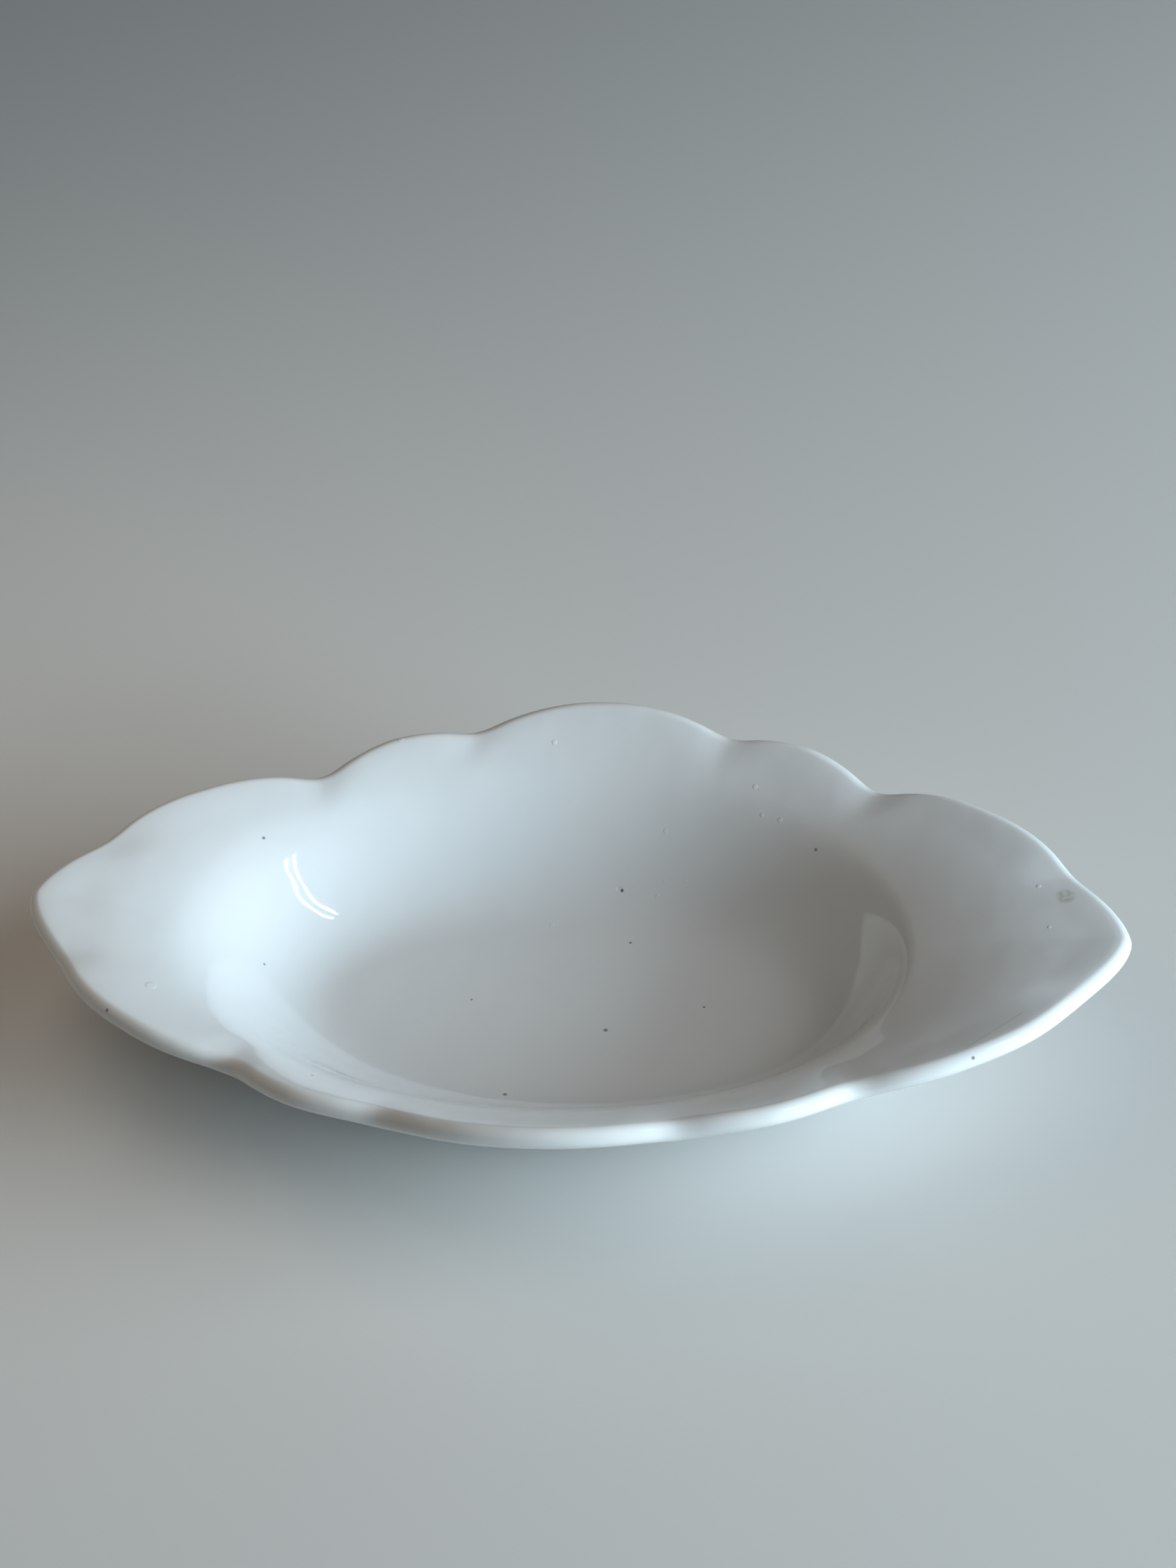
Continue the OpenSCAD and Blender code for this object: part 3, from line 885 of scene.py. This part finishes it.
class DISH_OT_foot(bpy.types.Operator):
    """Adds the foot ring, with a rounded standing edge"""
    bl_idname = "dish.foot"
    bl_label = "Foot ring"

    def execute(self, context):
        scene = context.scene
        sizes, steps = scene.dish_sizes, scene.dish_detail.foot_steps
        r, tall = sizes.foot_round, sizes.foot_height
        turn = quarter_turn(EDGE_RINGS)
        heights = np.concatenate([np.linspace(tall, r, SIDE_RINGS), r - r * np.sin(turn)])
        pull = np.concatenate([np.zeros(SIDE_RINGS), r - r * np.cos(turn)])
        lean = sizes.foot_draft * (1 - np.maximum(heights, r) / tall)
        axes = foot_axes(sizes)
        outer = oval_ring(axes, -lean, -pull, heights, steps)
        inner = oval_ring(axes - sizes.foot_width, lean[::-1], pull[::-1], heights[::-1], steps)
        grid = np.concatenate([outer, inner], 1)
        rows, depth = grid.shape[:2]
        over_root = strip(rows, 0, depth, -depth + 1, depth)
        quads = np.concatenate([band(rows, 0, depth), over_root])
        clay = material_once(CLAY, clay_paint, scene.dish_finish)
        make_piece("foot", grid.reshape(-1, 3), quads, np.zeros((0, 3), int), clay,
                   ["foot_ring"])
        return {"FINISHED"}


class DISH_OT_base_glaze(bpy.types.Operator):
    """Adds the glaze inside the foot ring"""
    bl_idname = "dish.base_glaze"
    bl_label = "Base glaze"

    def execute(self, context):
        scene = context.scene
        sizes = scene.dish_sizes
        coat, tall, low = sizes.glaze_coat, sizes.foot_height, sizes.bare_edge
        fillet = sizes.root_fillet
        fillet_low = tall - coat - fillet
        turn = quarter_turn(FILLET_RINGS)
        side = np.linspace(low, fillet_low, SIDE_RINGS)
        heights = np.concatenate([[tall, low], side, fillet_low + fillet * np.sin(turn)])
        inset = np.full(SIDE_RINGS, -coat)
        offsets = np.concatenate([[0, 0], inset, fillet * np.cos(turn) - fillet - coat])
        lean = sizes.foot_draft * (1 - heights / tall)
        axes = foot_axes(sizes) - sizes.foot_width
        grid = oval_ring(axes, lean, offsets, heights, scene.dish_detail.foot_steps)
        flat = shrunk(grid[:, -1:], shares(CEILING_RINGS)[::-1])
        ceiling = level_waves(flat, -sizes.unevenness)
        pole = level_waves(np.array([0, 0, tall - coat]), -sizes.unevenness)
        grid = np.concatenate([grid[:, :-1], ceiling], 1)
        rows, depth = grid.shape[:2]
        points = np.concatenate([grid.reshape(-1, 3), [pole, [0, 0, tall]]])
        triangles = np.concatenate([
            fan(rows, 0, depth, depth - 1, rows * depth, inward=True),
            fan(rows, 0, depth, 0, rows * depth + 1),
        ])
        glaze = material_once(GLAZE, glaze_paint, scene.dish_finish)
        make_piece("base_coat", points, band(rows, 0, depth), triangles, glaze,
                   ["base_glaze"])
        return {"FINISHED"}


def light_from(studio, name, size, angles, power_name, tint_name, missed_by):
    """A rectangular lamp that points at the origin, as its row of LAMPS says."""
    width, tall, away = size
    turn, rise = studio.window_turn + math.radians(angles[0]), math.radians(angles[1])
    lamp = bpy.data.lights.new(name, "AREA")
    lamp.shape, lamp.size, lamp.size_y = "RECTANGLE", width, tall
    lamp.energy, lamp.color = getattr(studio, power_name), getattr(studio, tint_name)
    holder = bpy.data.objects.new(name, lamp)
    level = math.cos(rise)
    way = Vector((level * math.cos(turn), level * math.sin(turn), math.sin(rise)))
    holder.location = way * away
    holder.rotation_euler = (-way).to_track_quat("-Z", "Y").to_euler()
    holder.visible_camera = False
    setattr(holder, "visible_" + missed_by, False)
    bpy.context.scene.collection.objects.link(holder)


class DISH_OT_studio(bpy.types.Operator):
    """Adds the floor, the lights and the camera"""
    bl_idname = "dish.studio"
    bl_label = "Studio"

    def execute(self, context):
        scene = context.scene
        studio = scene.dish_studio
        scene.view_settings.view_transform = "Standard"
        self.add_floor(studio)
        self.set_air(scene, studio)
        for lamp in LAMPS:
            light_from(studio, *lamp)
        self.add_camera(scene, studio)
        return {"FINISHED"}

    def add_floor(self, studio):
        """A square floor under the dish."""
        paint = Paint("pale_floor")
        paint.set(Base_Color=(*studio.floor, 1.0), Roughness=FLOOR_ROUGH)
        mesh = bpy.data.meshes.new("floor")
        low, high = -FLOOR_REACH, FLOOR_REACH
        mesh.from_pydata([(low, low, 0), (high, low, 0), (high, high, 0), (low, high, 0)], [],
                         [(0, 1, 2, 3)])
        mesh.materials.append(paint.material)
        floor = bpy.data.objects.new("floor", mesh)
        bpy.context.scene.collection.objects.link(floor)

    def set_air(self, scene, studio):
        """Faint, even light from all round."""
        world = bpy.data.worlds.new("air")
        world.use_nodes = True
        background = world.node_tree.nodes["Background"]
        background.inputs["Color"].default_value = (*studio.air, 1.0)
        background.inputs["Strength"].default_value = studio.air_level
        scene.world = world

    def add_camera(self, scene, studio):
        """The camera, turned about Z, then tilted about its X and rolled about its own Z."""
        camera = bpy.data.cameras.new("camera")
        camera.lens = studio.lens
        holder = bpy.data.objects.new("camera", camera)
        turned = Matrix.Rotation(studio.camera_turn, 4, "Z")
        tilted = turned @ Matrix.Rotation(studio.camera_tilt, 4, "X")
        rolled = tilted @ Matrix.Rotation(studio.camera_roll, 4, "Z")
        holder.matrix_world = Matrix.Translation(studio.camera_place) @ rolled
        scene.collection.objects.link(holder)
        scene.camera = holder


class DISH_PT_panel(bpy.types.Panel):
    """Lists the dish's pieces and their sizes"""
    bl_label = "Lobed dish"
    bl_space_type = "VIEW_3D"
    bl_region_type = "UI"
    bl_category = "Dish"

    def draw(self, context):
        for operator in OPERATORS:
            self.layout.operator(operator.bl_idname)
        for name, group in SETTINGS.items():
            for key in group.__annotations__:
                self.layout.prop(getattr(context.scene, name), key)


SETTINGS = {"dish_sizes": DishSizes, "dish_detail": DishDetail, "dish_finish": DishFinish,
            "dish_studio": StudioSet}
OPERATORS = (DISH_OT_clay, DISH_OT_glaze, DISH_OT_foot, DISH_OT_base_glaze, DISH_OT_studio)


def register():
    for cls in (*SETTINGS.values(), *OPERATORS, DISH_PT_panel):
        bpy.utils.register_class(cls)
    for name, group in SETTINGS.items():
        setattr(bpy.types.Scene, name, PointerProperty(type=group))


def unregister():
    for name in SETTINGS:
        delattr(bpy.types.Scene, name)
    for cls in reversed((*SETTINGS.values(), *OPERATORS, DISH_PT_panel)):
        bpy.utils.unregister_class(cls)


def main():
    register()
    bpy.ops.dish.clay()
    bpy.ops.dish.glaze()
    bpy.ops.dish.foot()
    bpy.ops.dish.base_glaze()
    bpy.ops.dish.studio()


if __name__ == "__main__":
    main()
